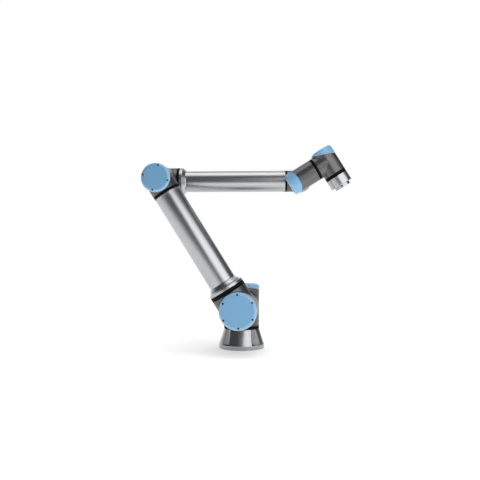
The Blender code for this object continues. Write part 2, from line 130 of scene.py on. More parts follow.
# The groove round each ring and seal.
RING_LIP = 0.0006
GROOVE_HALF = 0.0006
GROOVE_FLOOR_HALF = 0.0003
GROOVE_DEPTH = 0.0009
GROOVE_FILLET = 0.0002

# The collars at the far ends of the two tubes.
UPPER_COLLAR = 0.0012
FOREARM_COLLAR = 0.0008
FLARE_POINTS = 10

# The base flange's plate, pockets and bolt holes, as in the CAD but for the pockets' draft.
POCKET_RADIUS = 0.030
POCKET_CENTRE = 0.1063
POCKET_FLOOR = 0.0180
POCKET_DRAFT = 0.09
POCKET_INSET = 0.0015
BASE_BOLT_CIRCLE = 0.170
BASE_BOLT_RADIUS = 0.00425
PLATE_HEIGHT = 0.0185

# The base flange's hollow, and the stepped hole for the cable inlet, from the flange's axis out.
HOLLOW_FLOOR = 0.0140
HOLLOW_WIDE = 0.0680
HOLLOW_NARROW = 0.0620
THROAT_RADIUS = 0.0450
THROAT_DEPTH = 0.0090
INLET_HEIGHT = 0.045
INLET_HOLE_START = 0.0400
INLET_HOLE_RADIUS = 0.0105
INLET_SEAT = 0.0825
INLET_SEAT_RADIUS = 0.0155
INLET_HOLE_END = 0.1200
INLET_STEM_RADIUS = 0.0096
INLET_NUT_DEPTH = 0.0112

# The tool flange's face, to the 50 mm bolt circle of ISO 9409-1.
TOOL_FACE_RADIUS = 0.0315
TOOL_SHOULDER = 0.1050
TOOL_BOLT_CIRCLE = 0.050
TOOL_BOLT_RADIUS = 0.0025
TOOL_BOLT_DEPTH = 0.0100
COUNTERSINK = 0.0016
DOWEL_RADIUS = 0.0030
DOWEL_DEPTH = 0.0060
PILOT_RADIUS = 0.01575
PILOT_DEPTH = 0.0065

# The tool connector: its height up the flange, its hole, its bore and its ring of pins.
CONNECTOR_HEIGHT = 0.0870
CONNECTOR_HOLE_RADIUS = 0.0065
CONNECTOR_HOLE_DEPTH = 0.012
CONNECTOR_BORE = 0.0036
CONNECTOR_BORE_DEPTH = 0.0060
KNURL_RIDGES = 24
KNURL_DEPTH = 0.0004
PIN_RADIUS = 0.00035
PIN_CIRCLE_RADIUS = 0.0023
RING_PINS = 7

# The camera, as fitted to the photo.
CAMERA_AT = (0.157, -2.726, 0.469)
CAMERA_TURN = (math.radians(89.72), 0, math.radians(3.44))
LENS_MM = 48.16
SENSOR_MM = 36

# The floor, with a painted shadow that darkens its colour round the arm's base and fades out between
# two distances, and the sun that lights nothing but the floor.
FLOOR_RADIUS = 2.6
FLOOR_GREY = 0.93
FLOOR_PAINTED_SHADOW = 0.72
FLOOR_PAINTED_SHADOW_FROM = 0.10
FLOOR_PAINTED_SHADOW_TO = 1.30
FLOOR_LIGHT = 3.25
FLOOR_LIGHT_AT = (0.25, -0.25, 2.0)
FLOOR_LIGHT_ANGLE = math.radians(75)

# The softboxes, all aimed at one point: name, place, width, height and radiance.
LIGHT_TARGET = (0.0, -0.17, 0.45)
SOFTBOXES = (
    ("overhead", (0.0, -0.20, 2.35), 1.5, 1.2, 2.2),
    ("right_front", (1.04, -1.27, 1.05), 2.0, 1.2, 2.1),
)

# The studio's dim level, and where it is brighter: direction axis, where the ramp starts, where it
# is full, and how bright it gets.
WORLD_DIM = 0.075
WORLD_RAMPS = ((1, 0.15, 0.80, 1.0), (0, 0.65, 0.10, 1.0))

# The range that most of a noise lies in.
NOISE_LOW = 0.3
NOISE_HIGH = 0.7

# A colour Mix node's sockets, by number because their names repeat.
MIX_FIRST = 6
MIX_SECOND = 7
MIX_RESULT = 2

IDENTITY = Matrix.Identity(4)
ALONG_NECK = Matrix.Rotation(math.pi / 2, 4, "Y")

JOINTS = {joint["name"]: joint for joint in frame["joints"]}
BODY_OF = {node: obj["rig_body"] for node, obj in frame["nodes"].items()}
SLOT_OF = {part["node"]: part["material_slot"] for part in frame["record"]["subparts"]}

# The joint that each module's neck points at.
NECK_TOWARDS = {
    "base_joint": "shoulder_joint",
    "shoulder_joint": "elbow_joint",
    "elbow_joint": "shoulder_joint",
    "wrist_1_joint": "elbow_joint",
    "wrist_2_joint": "wrist_1_joint",
    "wrist_3_joint": "wrist_2_joint",
}


# ---------------------------------------------------------------- frames and measures


def frame_at(origin, axis, sideways):
    """A matrix at origin whose Z is axis and whose X is the part of sideways square to it."""
    z = axis.normalized()
    x = (sideways - sideways.dot(z) * z).normalized()
    turned_to = Matrix((x, z.cross(x), z)).transposed().to_4x4()
    return Matrix.Translation(origin) @ turned_to


def joint_at(name):
    return Vector(JOINTS[name]["pos_m"])


def joint_frame(name):
    origin = joint_at(name)
    axis = Vector(JOINTS[name]["axis"])
    low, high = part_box(f"{name}_seal")
    if axis.dot((low + high) / 2 - origin) < 0:
        axis = -axis
    return frame_at(origin, axis, joint_at(NECK_TOWARDS[name]) - origin)


def counterpart_frame():
    """The casting opposite the elbow joint: on its axis, level with wrist 1, facing back at it."""
    elbow = FRAMES["elbow_joint"]
    axis = elbow.to_3x3().col[2]
    to_wrist = joint_at("wrist_1_joint") - elbow.translation
    origin = elbow.translation + to_wrist.dot(axis) * axis
    return frame_at(origin, -axis, to_wrist)


def points_in(node, place):
    """The CAD node's points in a frame, as rows of x, y, z."""
    inverse = np.array(place.inverted())
    points = np.array([v.co for v in frame["nodes"][node].data.vertices])
    return points @ inverse[:3, :3].T + inverse[:3, 3]


def spans(node, place):
    """Lowest and highest Z of a CAD node in a frame, and its smallest and largest radius about Z."""
    points = points_in(node, place)
    radii = np.hypot(points[:, 0], points[:, 1])
    return points[:, 2].min(), points[:, 2].max(), radii.min(), radii.max()


def radius_at(node, place, height):
    """Largest radius about Z of a CAD node's points at one height."""
    points = points_in(node, place)
    level = points[abs(points[:, 2] - height) < 0.0001]
    return np.hypot(level[:, 0], level[:, 1]).max()


# ---------------------------------------------------------------- mesh building


def rounded(corners, steps=4):
    """An outline from (radius, height, fillet) corners, as (radius, height, wear) points.

    Each corner with a fillet becomes an arc, and wear is 1 inside the arcs.
    """
    outline = []
    for i, (radius, height, fillet) in enumerate(corners):
        here = Vector((radius, height))
        if fillet == 0:
            outline.append((radius, height, 0.0))
            continue
        before = Vector(corners[i - 1][:2]) - here
        after = Vector(corners[(i + 1) % len(corners)][:2]) - here
        half = before.angle(after) / 2
        reach = min(fillet / math.tan(half), 0.49 * before.length, 0.49 * after.length)
        size = reach * math.tan(half)
        start = here + before.normalized() * reach
        end = here + after.normalized() * reach
        middle = (before.normalized() + after.normalized()).normalized()
        centre = here + middle * size / math.sin(half)
        first = start - centre
        sweep = first.angle_signed(end - centre)
        for step in range(steps + 1):
            turned_by = Matrix.Rotation(-sweep * step / steps, 2)
            point = centre + turned_by @ first
            outline.append((point.x, point.y, float(0 < step < steps)))
    return outline


def spun(outline_at, facets=FACETS):
    """A grid of points (x, y, z, wear), one outline for each angle about Z.

    An outline closes on itself, or starts and ends on the axis, where its points meet later.
    """
    columns = []
    for i in range(facets):
        angle = 2 * math.pi * i / facets
        outline = np.array(outline_at(angle))
        if outline[0, 0] > 0:
            outline = np.vstack([outline, outline[:1]])
        column = np.empty((len(outline), 4))
        column[:, 0] = outline[:, 0] * math.cos(angle)
        column[:, 1] = outline[:, 0] * math.sin(angle)
        column[:, 2:] = outline[:, 1:]
        columns.append(column)
    return np.array(columns)


def turned(corners, facets=FACETS, steps=4):
    outline = rounded(corners, steps)
    return spun(lambda angle: outline, facets)


def moved(grid, matrix):
    matrix = np.array(matrix)
    result = grid.copy()
    result[:, :, :3] = grid[:, :, :3] @ matrix[:3, :3].T + matrix[:3, 3]
    return result


def mesh_of(name, grids):
    """One mesh from grids that each close round their first index and meet where points coincide."""
    points, faces = [], []
    for grid in grids:
        columns, rows = grid.shape[:2]
        index = np.arange(columns * rows).reshape(columns, rows) + sum(len(p) for p in points)
        across = np.roll(index, -1, axis=0)
        quads = np.stack([index[:, :-1], index[:, 1:], across[:, 1:], across[:, :-1]], axis=-1)
        faces.append(quads.reshape(-1, 4))
        points.append(grid.reshape(-1, 4))
    points = np.vstack(points)
    mesh = bpy.data.meshes.new(name)
    mesh.from_pydata(points[:, :3].tolist(), [], np.vstack(faces).tolist())
    # This attribute marks worn edges on most pieces, and on the lids the band that their material
    # paints lighter as a painted highlight.
    wear_and_highlight = mesh.attributes.new("wear_and_highlight", "FLOAT", "POINT")
    wear_and_highlight.data.foreach_set("value", points[:, 3].astype(np.float32))
    shape = bmesh.new()
    shape.from_mesh(mesh)
    bmesh.ops.remove_doubles(shape, verts=shape.verts, dist=MERGE)
    bmesh.ops.dissolve_degenerate(shape, edges=shape.edges, dist=MERGE)
    bmesh.ops.recalc_face_normals(shape, faces=shape.faces)
    shape.to_mesh(mesh)
    shape.free()
    return mesh


def new_object(name, mesh, place):
    obj = bpy.data.objects.new(name, mesh)
    bpy.context.scene.collection.objects.link(obj)
    obj.matrix_world = place
    return obj


def apply_modifiers(obj):
    bpy.context.view_layer.update()
    graph = bpy.context.evaluated_depsgraph_get()
    mesh = bpy.data.meshes.new_from_object(obj.evaluated_get(graph))
    obj.modifiers.clear()
    obj.data = mesh


def carve(obj, grids):
    """Cuts closed grids, given in the object's own frame, out of it. They don't touch each other."""
    cutter = new_object("cutter", mesh_of("cutter", grids), obj.matrix_world)
    cut = obj.modifiers.new("Cut", "BOOLEAN")
    cut.operation = "DIFFERENCE"
    cut.object = cutter
    apply_modifiers(obj)
    bpy.data.objects.remove(cutter)


def soften(obj, width):
    """Clears up the slivers that carving leaves and rounds its sharp edges."""
    shape = bmesh.new()
    shape.from_mesh(obj.data)
    bmesh.ops.remove_doubles(shape, verts=shape.verts, dist=CUT_MERGE)
    bmesh.ops.dissolve_degenerate(shape, edges=shape.edges, dist=CUT_MERGE)
    shape.to_mesh(obj.data)
    shape.free()
    bevel = obj.modifiers.new("Edges", "BEVEL")
    bevel.width = width
    bevel.segments = 2
    bevel.limit_method = "ANGLE"
    bevel.angle_limit = SHARP_EDGE
    apply_modifiers(obj)


def keep_place(obj):
    """Keeps each point's place in the object's own frame as an attribute, and moves the mesh itself."""
    points = np.empty(len(obj.data.vertices) * 3, np.float32)
    obj.data.vertices.foreach_get("co", points)
    place = obj.data.attributes.new("place", "FLOAT_VECTOR", "POINT")
    place.data.foreach_set("vector", points)
    obj.data.transform(obj.matrix_world)
    obj.matrix_world = IDENTITY


def show(obj, look, body, nodes=()):
    """Gives a finished mesh its material, its shading, the body it rides on and what it stands for."""
    keep_place(obj)
    obj.data.materials.clear()
    obj.data.materials.append(look)
    obj.data.shade_smooth()
    obj.data.set_sharp_from_angle(angle=SMOOTH_BELOW)
    weighted = obj.modifiers.new("Flat faces stay flat", "WEIGHTED_NORMAL")
    weighted.keep_sharp = True
    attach(obj, body)
    if nodes:
        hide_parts(*nodes)


def stand_in(node, obj):
    """Shows obj in place of one CAD node, with that node's body and finish."""
    slot = SLOT_OF[node]
    show(obj, LOOKS[slot], BODY_OF[node], [node])


def detailed(node, grids, place):
    """A new object for a CAD node, not yet shown."""
    name = f"{node}_detailed"
    return new_object(name, mesh_of(name, grids), place)


# ---------------------------------------------------------------- materials


class Graph:
    """A material's nodes, which start from the place in the piece's own frame.

    A new piece holds that place as an attribute. A CAD node has none, so its frame is given.
    """

    def __init__(self, name, colour, roughness, metallic, own_frame=None):
        self.material = bpy.data.materials.new(name)
        self.material.use_nodes = True
        self.tree = self.material.node_tree
        self.shader = self.tree.nodes["Principled BSDF"]
        self.shader.inputs["Base Color"].default_value = (*colour, 1)
        self.shader.inputs["Roughness"].default_value = roughness
        self.shader.inputs["Metallic"].default_value = metallic
        self.colour = colour
        if own_frame is None:
            self.place = self.add("Attribute", {"attribute_name": "place"}).outputs["Vector"]
            return
        inverse = own_frame.inverted()
        mapping = self.add("Mapping", Vector=self.add("TexCoord").outputs["Object"])
        mapping.inputs["Location"].default_value = inverse.to_translation()
        mapping.inputs["Rotation"].default_value = inverse.to_euler()
        self.place = mapping.outputs[0]

    def add(self, kind, settings=None, **inputs):
        node = self.tree.nodes.new("ShaderNode" + kind)
        for key, value in (settings or {}).items():
            setattr(node, key, value)
        for key, value in inputs.items():
            self.put(node, key.replace("_", " "), value)
        return node

    def put(self, node, key, value):
        if isinstance(value, bpy.types.NodeSocket):
            self.tree.links.new(value, node.inputs[key])
        else:
            node.inputs[key].default_value = value

    def noise(self, size, place=None, stretch=(1, 1, 1), detail=2.0):
        """Noise from 0 to 1 with features of about size, longer by stretch along each axis."""
        scale = tuple(1 / s for s in stretch)
        mapped = self.add("Mapping", Vector=place or self.place, Scale=scale)
        noise = self.add("TexNoise", Vector=mapped.outputs[0], Scale=0.6 / size, Detail=detail)
        return noise.outputs[0]

    def ranged(self, value, low, high, new_low=0.0, new_high=1.0):
        node = self.add("MapRange", Value=value)
        self.put(node, "From Min", low)
        self.put(node, "From Max", high)
        self.put(node, "To Min", new_low)
        self.put(node, "To Max", new_high)
        return node.outputs[0]

    def uneven(self, noise, low, high):
        """A noise spread over a range of values."""
        return self.ranged(noise, NOISE_LOW, NOISE_HIGH, low, high)

    def maths(self, operation, first, second=0.0):
        node = self.add("Math", {"operation": operation})
        self.put(node, 0, first)
        self.put(node, 1, second)
        return node.outputs[0]

    def mixed(self, share, first, second):
        """A colour between two, by share. Either is a colour or a socket."""
        node = self.add("Mix", {"data_type": "RGBA"})
        self.put(node, 0, share)
        for key, value in ((MIX_FIRST, first), (MIX_SECOND, second)):
            is_socket = isinstance(value, bpy.types.NodeSocket)
            self.put(node, key, value if is_socket else (*value, 1))
        return node.outputs[MIX_RESULT]

    def shade(self, factor):
        """The material's own colour, lighter or darker by a factor."""
        return tuple(channel * factor for channel in self.colour)

    def worn(self):
        """1 along the rounded edges where they have been rubbed, 0 elsewhere."""
        edges = self.add("Attribute", {"attribute_name": "wear_and_highlight"}).outputs["Fac"]
        patches = self.ranged(self.noise(0.009), 0.42, 0.62)
        return self.maths("MULTIPLY", edges, patches)

    def round_coordinates(self):
        """Radius and height about the object's Z axis, as a vector."""
        parts = self.add("SeparateXYZ", Vector=self.place)
        flat = self.add("CombineXYZ", X=parts.outputs[0], Y=parts.outputs[1])
        length = self.add("VectorMath", {"operation": "LENGTH"}, Vector=flat.outputs[0])
        return self.add("CombineXYZ", X=length.outputs["Value"], Z=parts.outputs[2]).outputs[0]

    def turn_angle(self):
        """The angle about the object's Z axis, in radians."""
        parts = self.add("SeparateXYZ", Vector=self.place)
        return self.maths("ARCTAN2", parts.outputs[1], parts.outputs[0])

    def colour_from(self, socket):
        self.put(self.shader, "Base Color", socket)

    def roughness_from(self, socket):
        self.put(self.shader, "Roughness", socket)

    def relief(self, height, depth):
        """Bump of the given depth in metres from a height between 0 and 1."""
        bump = self.add("Bump", Height=height, Distance=depth, Strength=1.0)
        self.put(self.shader, "Normal", bump.outputs[0])


def powder_coated_casting():
    """Dark grey powder coat: fine orange-peel relief, cloudy gloss, rubbed lighter at the edges."""
    graph = Graph("powder_coated_casting", (0.124, 0.123, 0.122), roughness=0.36, metallic=0.80)
    cloudy = graph.noise(0.030, detail=3)
    coat = graph.mixed(cloudy, graph.shade(0.90), graph.shade(1.12))
    graph.colour_from(graph.mixed(graph.worn(), coat, graph.shade(2.2)))
    graph.roughness_from(graph.uneven(graph.noise(0.012), 0.31, 0.40))
    graph.relief(graph.noise(0.0011, detail=3), depth=0.000018)
    return graph.material


def moulded_lid():
    """Light blue moulded plastic with a fine eroded texture, painted lighter on the sloping band as a
    highlight.
    """
    graph = Graph("moulded_lid", (0.193, 0.418, 0.658), roughness=0.38, metallic=0.0)
    cloudy = graph.noise(0.035, detail=3)
    plastic = graph.mixed(cloudy, graph.shade(0.96), graph.shade(1.04))
    # Painted highlight: the marked sloping band is made lighter, in noisy patches, where it catches the
    # light.
    band = graph.add("Attribute", {"attribute_name": "wear_and_highlight"}).outputs["Fac"]
    rubbed = graph.uneven(graph.noise(0.012, detail=3), 0.55, 0.85)
    painted_highlight = graph.maths("MULTIPLY", band, rubbed)
    graph.colour_from(graph.mixed(painted_highlight, plastic, (0.36, 0.58, 0.80)))
    graph.roughness_from(graph.uneven(graph.noise(0.010), 0.34, 0.43))
    graph.relief(graph.noise(0.0008, detail=2), depth=0.000010)
    return graph.material


def seal_rubber():
    """Black rubber: dull, with a faint bloom in patches and a fine grain."""
    graph = Graph("seal_rubber", (0.006, 0.006, 0.0065), roughness=0.55, metallic=0.0)
    bloom = graph.ranged(graph.noise(0.015, detail=4), 0.45, 0.75)
    graph.colour_from(graph.mixed(bloom, graph.shade(0.8), graph.shade(1.8)))
    graph.roughness_from(graph.uneven(graph.noise(0.006), 0.46, 0.62))
    graph.relief(graph.noise(0.0007), depth=0.000012)
    graph.shader.inputs["Specular IOR Level"].default_value = 0.05
    return graph.material


def drawn_tube():
    """Satin anodised tube: hair lines along the drawing direction and a slightly uneven satin."""
    graph = Graph("drawn_tube", (0.42, 0.425, 0.435), roughness=0.32, metallic=1.0)
    lines = graph.noise(0.0006, stretch=(1, 1, 90), detail=3)
    cloudy = graph.noise(0.045, stretch=(1, 1, 3), detail=2)
    satin = graph.mixed(cloudy, graph.shade(0.95), graph.shade(1.05))
    streaked = graph.mixed(graph.uneven(lines, 0, 1), satin, graph.shade(1.04))
    graph.colour_from(graph.mixed(graph.worn(), streaked, graph.shade(1.35)))
    graph.roughness_from(graph.uneven(lines, 0.29, 0.36))
    graph.relief(lines, depth=0.000003)
    return graph.material


def turned_metal(name, colour, roughness, pitch, own_frame=None):
    """Metal off a lathe: concentric tool marks of one pitch, uneven in depth."""
    graph = Graph(name, colour, roughness, 1.0, own_frame)
    marks = graph.noise(pitch, place=graph.round_coordinates(), detail=3)
    cloudy = graph.noise(0.030, detail=3)
    metal = graph.mixed(cloudy, graph.shade(0.93), graph.shade(1.05))
    graph.colour_from(graph.mixed(graph.worn(), metal, graph.shade(1.20)))
    graph.roughness_from(graph.uneven(marks, roughness - 0.05, roughness + 0.06))
    graph.relief(marks, depth=0.000004)
    return graph.material


def ground_steel(own_frame):
    """Bright steel off a fine grinding wheel."""
    colour = (0.46, 0.465, 0.48)
    return turned_metal("ground_steel", colour, 0.27, pitch=0.0003, own_frame=own_frame)


def copper_winding(own_frame):
    """Wound copper wire, one turn beside the next, under a thin uneven varnish, with painted shade
    between the turns.
    """
    copper = (0.50, 0.21, 0.09)
    graph = Graph("copper_winding", copper, roughness=0.34, metallic=1.0, own_frame=own_frame)
    wires = graph.maths("SINE", graph.maths("MULTIPLY", graph.turn_angle(), 180.0))
    wires = graph.ranged(wires, -1, 1)
    varnish = graph.noise(0.006, detail=3)
    # Painted shade: the copper is darker in the grooves between the turns and lighter on their crowns.
    dark = graph.mixed(varnish, graph.shade(0.35), graph.shade(0.55))
    graph.colour_from(graph.mixed(wires, dark, graph.shade(1.2)))
    graph.roughness_from(graph.uneven(varnish, 0.26, 0.44))
    graph.relief(wires, depth=0.00015)
    return graph.material


def circuit_board(own_frame):
    """Green solder mask over copper tracks, with bright pads and dark chips."""
    green = (0.012, 0.095, 0.045)
    graph = Graph("circuit_board", green, roughness=0.32, metallic=0.0, own_frame=own_frame)
    cells = graph.add("TexVoronoi", {"distance": "CHEBYCHEV"}, Vector=graph.place, Scale=190.0)
    pads = graph.ranged(cells.outputs["Distance"], 0.16, 0.13)
    fine = graph.add("TexVoronoi", {"feature": "DISTANCE_TO_EDGE"}, Vector=graph.place, Scale=110.0)
    tracks = graph.ranged(fine.outputs["Distance"], 0.09, 0.05)
    big = graph.add("TexVoronoi", {"distance": "CHEBYCHEV"}, Vector=graph.place, Scale=60.0)
    chips = graph.ranged(big.outputs["Distance"], 0.24, 0.22)
    board = graph.mixed(tracks, graph.shade(1.0), graph.shade(1.9))
    board = graph.mixed(pads, board, (0.62, 0.60, 0.55))
    graph.colour_from(graph.mixed(chips, board, (0.012, 0.012, 0.013)))
    graph.roughness_from(graph.ranged(pads, 0, 1, 0.36, 0.22))
    graph.relief(graph.maths("MAXIMUM", chips, pads), depth=0.0004)
    return graph.material


def black_oxide():
    """Blackened steel screws: almost black, a little brown and shiny where the tool has rubbed."""
    graph = Graph("black_oxide", (0.009, 0.009, 0.010), roughness=0.38, metallic=0.3)
    rubbed = graph.ranged(graph.noise(0.0012, detail=3), 0.5, 0.7)
    graph.colour_from(graph.mixed(rubbed, graph.shade(1.0), (0.040, 0.036, 0.032)))
    graph.roughness_from(graph.uneven(graph.noise(0.0008), 0.26, 0.42))
    graph.relief(graph.noise(0.0004), depth=0.000006)
    graph.shader.inputs["Specular IOR Level"].default_value = 0.30
    return graph.material


def gilded_pins():
    """Gold-plated contacts with a faint brushed grain."""
    graph = Graph("gilded_pins", (0.80, 0.58, 0.24), roughness=0.22, metallic=1.0)
    grain = graph.noise(0.0004, stretch=(1, 1, 8), detail=3)
    graph.colour_from(graph.mixed(grain, graph.shade(0.85), graph.shade(1.1)))
    graph.roughness_from(graph.uneven(grain, 0.18, 0.30))
    graph.relief(grain, depth=0.000003)
    return graph.material


SILVER = (0.405, 0.41, 0.42)
LOOKS = {
    "cast_dark_grey": powder_coated_casting(),
    "lid_blue": moulded_lid(),
    "seal_black": seal_rubber(),
    "anodised_tube": drawn_tube(),
    "machined_silver": turned_metal("machined_silver", SILVER, roughness=0.31, pitch=0.0005),
}
INTERNAL_LOOKS = {
    "ground_steel": ground_steel,
    "copper_winding": copper_winding,
    "circuit_board": circuit_board,
}
SCREW_LOOK = black_oxide()
PIN_LOOK = gilded_pins()


# ---------------------------------------------------------------- castings


def on_blend(points, radius, widest):
    """Moves points onto the smooth union of a barrel along Z and one along X, of one radius.

    The blend narrows to nothing where the two run into each other without a crease.
    """
    points = points.copy()
    for _ in range(BLEND_STEPS):
        x, y, z = points.T
        barrel = np.hypot(x, y)
        neck = np.maximum(np.hypot(y, z), TINY)
        barrel_way = np.stack([x / barrel, y / barrel, 0 * z], axis=1)
        neck_way = np.stack([0 * x, y / neck, z / neck], axis=1)
        crease = 1 - (barrel_way * neck_way).sum(axis=1)
        blend = np.maximum(widest * crease * (x > 0), TINY)
        from_barrel = barrel - radius
        from_neck = np.where(x > 0, neck - radius, radius)
        overlap = np.clip(1 - abs(from_barrel - from_neck) / blend, 0, 1)
        distance = np.minimum(from_barrel, from_neck) - overlap**2 * blend / 4
        share = np.clip(0.5 + (from_neck - from_barrel) / (2 * blend), 0, 1)
        slope = share[:, None] * barrel_way + (1 - share)[:, None] * neck_way
        length = np.maximum((slope**2).sum(axis=1), FLATTEST_SLOPE)
        points -= (distance / length)[:, None] * slope
    return points


def tee_grids(radius, low_of, high, neck, blend):
    """Three open grids: the barrel below the neck, the barrel above it, and the neck along X.

    low_of gives the barrel's lower end at each x.
    """
    graded = np.linspace(0, 1, ROWS + 1) ** 2.0
    angles = 2 * math.pi * np.arange(FACETS) / FACETS
    x = radius * np.cos(angles)
    y = radius * np.sin(angles)
    crease = np.maximum(x, 0)
    grids = []
    for sign, end in ((-1, low_of(x)), (1, np.full(FACETS, high))):
        heights = sign * crease[:, None] + (end - sign * crease)[:, None] * graded
        flat = np.repeat(np.stack([x, y], axis=1)[:, None, :], ROWS + 1, axis=1)
        grids.append(np.concatenate([flat, heights[:, :, None]], axis=2))
    start = abs(x)
    out = start[:, None] + (neck - start)[:, None] * graded
    across = np.repeat(np.stack([y, -x], axis=1)[:, None, :], ROWS + 1, axis=1)
    grids.append(np.concatenate([out[:, :, None], across], axis=2))
    result = []
    for grid in grids:
        if blend:
            ends = grid[:, -1].copy()
            grid = on_blend(grid.reshape(-1, 3), radius, blend).reshape(grid.shape)
            grid[:, -1] = ends
        result.append(np.concatenate([grid, np.zeros((*grid.shape[:2], 1))], axis=2))
    return result


def rim_grid(point_at, radius, inner, edge):
    """The rounded end face between the outer skin and the bore.

    point_at gives x, y, z for an angle, a radius and a distance back from the end.
    """
    steps = []
    for turn, wear_and_highlight in ((0, 0.0), (30, 1.0), (60, 1.0), (90, 0.0)):
        turn = math.radians(turn)
        steps.append((radius - edge * (1 - math.cos(turn)), edge * (1 - math.sin(turn)), wear_and_highlight))
    steps.append((inner, 0.0, 0.0))
    columns = []
    for i in range(FACETS):
        angle = 2 * math.pi * i / FACETS
        columns.append([(*point_at(angle, size, back), wear_and_highlight) for size, back, wear_and_highlight in steps])
    return np.array(columns)


def tee_casting(node, place, low_of):
    """A hollow cast T with a soft crease between barrel and neck, and rounded, open ends."""
    points = points_in(node, place)
    neck = points[:, 0].max()
    high = points[:, 2].max()
    radius = np.hypot(points[:, 0], points[:, 1])[points[:, 0] < 0].max()
    inner = radius - CASTING_WALL

    def at_low(angle, size, back):
        x = size * math.cos(angle)
        return x, size * math.sin(angle), low_of(x) + back

    def at_high(angle, size, back):
        return size * math.cos(angle), size * math.sin(angle), high - back

    def at_neck(angle, size, back):
        return neck - back, size * math.sin(angle), -size * math.cos(angle)

    spare = neck - radius
    neck_edge = min(EDGE_ROUND, NECK_EDGE_SHARE * spare)
    blend = min(CREASE_BLEND * radius, NECK_BLEND_SHARE * spare)
    outer_ends = (lambda x: low_of(x) + RIM_ROUND, high - EDGE_ROUND, neck - neck_edge)
    grids = tee_grids(radius, *outer_ends, blend)
    grids += tee_grids(inner, low_of, high, neck, blend=0)
    grids.append(rim_grid(at_low, radius, inner, RIM_ROUND))
    grids.append(rim_grid(at_high, radius, inner, EDGE_ROUND))
    grids.append(rim_grid(at_neck, radius, inner, neck_edge))
    stand_in(node, detailed(node, grids, place))


# ---------------------------------------------------------------- lids and their screws


class Lid:
    """What a CAD lid measures in its module's frame."""

    def __init__(self, node, place):
        self.node = node
        self.place = place
        points = points_in(node, place)
        self.face = points[:, 2].min()
        self.radius = np.hypot(points[:, 0], points[:, 1]).max()
        near = points[points[:, 0] > 0.99 * self.radius][:, 2].max()
        far = points[points[:, 0] < -0.99 * self.radius][:, 2].max()
        self.middle = (near + far) / 2
        self.slope = (near - far) / (2 * self.radius)
        self.large = self.radius > LARGE_LID_OVER
        self.head = LARGE_HEAD if self.large else SMALL_HEAD

    def edge_at(self, x):
        return self.middle + self.slope * x

    def screw_places(self):
        """A frame for each screw, with Z along the lid's axis and its origin level with the face."""
        count = 6 if self.large else 4
        circle = SCREW_CIRCLE_SHARE * self.radius
        for i in range(count):
            turn = Matrix.Rotation(2 * math.pi * (i + 0.5) / count, 4, "Z")
            yield turn @ Matrix.Translation((circle, 0, self.face))


def lid_cap(lid):
    """A cap cut obliquely: flat face, sloping band, rounded shoulder, skirt, recesses for screws."""
    radius = lid.radius
    face = lid.face
    inner = radius - LID_WALL

    def outline_at(angle):
        return rounded([
            (0, face, 0),
            (FACE_SHARE * radius, face, FACE_FILLET),
            (BAND_SHARE * radius, face + BAND_DROP, BAND_FILLET),
            (radius, face + SHOULDER_DROP, SHOULDER_FILLET),
            (radius, lid.edge_at(radius * math.cos(angle)), RIM_ROUND),
            (inner, lid.edge_at(inner * math.cos(angle)), RIM_ROUND),
            (inner, face + SHOULDER_DROP + 0.0016, INNER_FILLET),
            (BAND_SHARE * radius - LID_WALL, face + BAND_DROP + LID_WALL, 0),
            (0, face + BAND_DROP + LID_WALL - 0.0008, 0),
        ])

    skin = spun(outline_at)
    # Marks the points on the outer sloping band, which the lid's material paints lighter as a
    # highlight.
    reach = np.hypot(skin[:, :, 0], skin[:, :, 1])
    in_painted_highlight = (reach > PAINTED_HIGHLIGHT_SHARE * radius) & (skin[:, :, 2] < face + SHOULDER_DROP)
    skin[:, :, 3] = in_painted_highlight
    cap = detailed(lid.node, [skin], lid.place)
    recess = turned([
        (0, -CUT_PAST, 0),
        (lid.head + HEAD_ROOM, -CUT_PAST, 0),
        (lid.head + HEAD_ROOM, RECESS_DEPTH, 0),
        (0, RECESS_DEPTH, 0),
    ], SMALL_FACETS)
    carve(cap, [moved(recess, spot) for spot in lid.screw_places()])
    stand_in(lid.node, cap)


def hexagon(angle, across_flats):
    """Distance from the middle to a hexagon's side at an angle."""
    within = (angle + math.pi / 6) % (math.pi / 3) - math.pi / 6
    return across_flats / 2 / math.cos(within)


def lid_screws(lid):
    """Low-head screws with hexagon sockets, seated in the lid's recesses."""
    head = lid.head
    bottom = SCREW_SINK + SOCKET_DEPTH

    def outline_at(angle):
        socket = hexagon(angle, SOCKET_SHARE * head)
        return rounded([
            (0, bottom, 0),
            (socket, bottom, 0),
            (socket, SCREW_SINK, 0.0002),
            (head, SCREW_SINK, 0.0006),
            (head, RECESS_DEPTH, 0),
            (0, RECESS_DEPTH, 0),
        ], steps=3)

    screw = spun(outline_at, SMALL_FACETS)
    name = f"{lid.node}_screws"
    grids = [moved(screw, spot) for spot in lid.screw_places()]
    show(new_object(name, mesh_of(name, grids), lid.place), SCREW_LOOK, BODY_OF[lid.node])


# ---------------------------------------------------------------- rings and tubes


def grooved_ring(node, place):
    """A ring with a fine groove round its middle."""
    low, high, _, outer = spans(node, place)
    inner = outer - CASTING_WALL
    middle = low + 0.5 * (high - low)
    ring = turned([
        (inner, low, 0),
        (outer, low, RING_LIP),
        (outer, middle - GROOVE_HALF, GROOVE_FILLET),
        (outer - GROOVE_DEPTH, middle - GROOVE_FLOOR_HALF, GROOVE_FILLET),
        (outer - GROOVE_DEPTH, middle + GROOVE_FLOOR_HALF, GROOVE_FILLET),
        (outer, middle + GROOVE_HALF, GROOVE_FILLET),
        (outer, high, RING_LIP),
        (inner, high, 0),
    ], steps=3)
    stand_in(node, detailed(node, [ring], place))


def flare(start, end, low, high):
    """Radii and heights along an S-curve from one radius to a smaller one."""
    for i in range(FLARE_POINTS + 1):
        t = i / FLARE_POINTS
        eased = t * t * (3 - 2 * t)
        yield start + (end - start) * eased, low + (high - low) * t, 0


